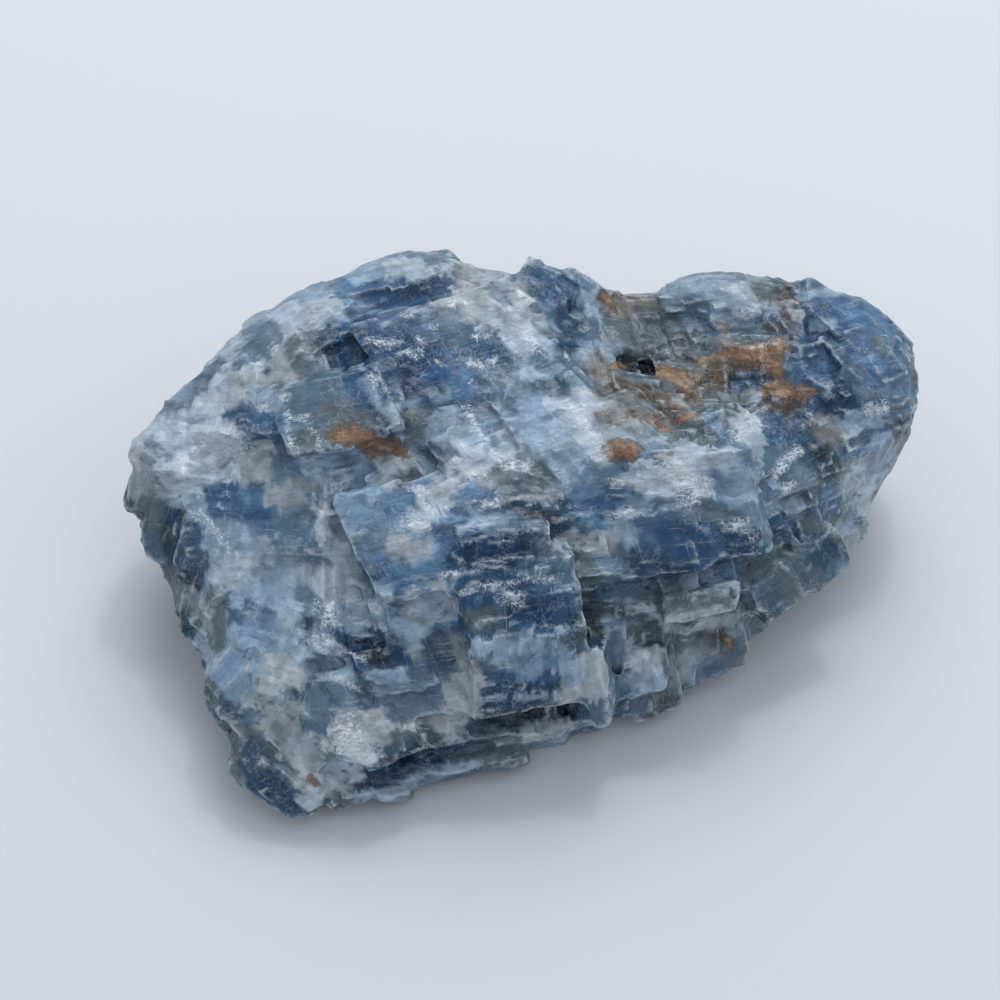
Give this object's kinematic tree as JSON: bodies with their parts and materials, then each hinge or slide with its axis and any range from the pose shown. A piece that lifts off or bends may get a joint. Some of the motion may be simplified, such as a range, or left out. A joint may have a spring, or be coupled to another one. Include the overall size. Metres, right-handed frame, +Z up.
{
  "type": "raw blue calcite chunk",
  "caption": "Palm-sized broken chunk of raw blue calcite with stepped cleavage faces, veins and rusty stains, resting on its flat underside.",
  "frame": {"origin": "on the resting plane, under the middle of the bounding box", "axes": "+X along the long side to the narrow rounded end, -Y to the low open flank with the stairs, +Z up from the resting face"},
  "size_m": [0.1118, 0.0764, 0.0396],
  "materials": {
    "blue_calcite": "cloudy, part translucent, with glassy cleavage faces"
  },
  "bodies": {
    "root": {"calcite_chunk": "blue_calcite"}
  },
  "joints": []
}
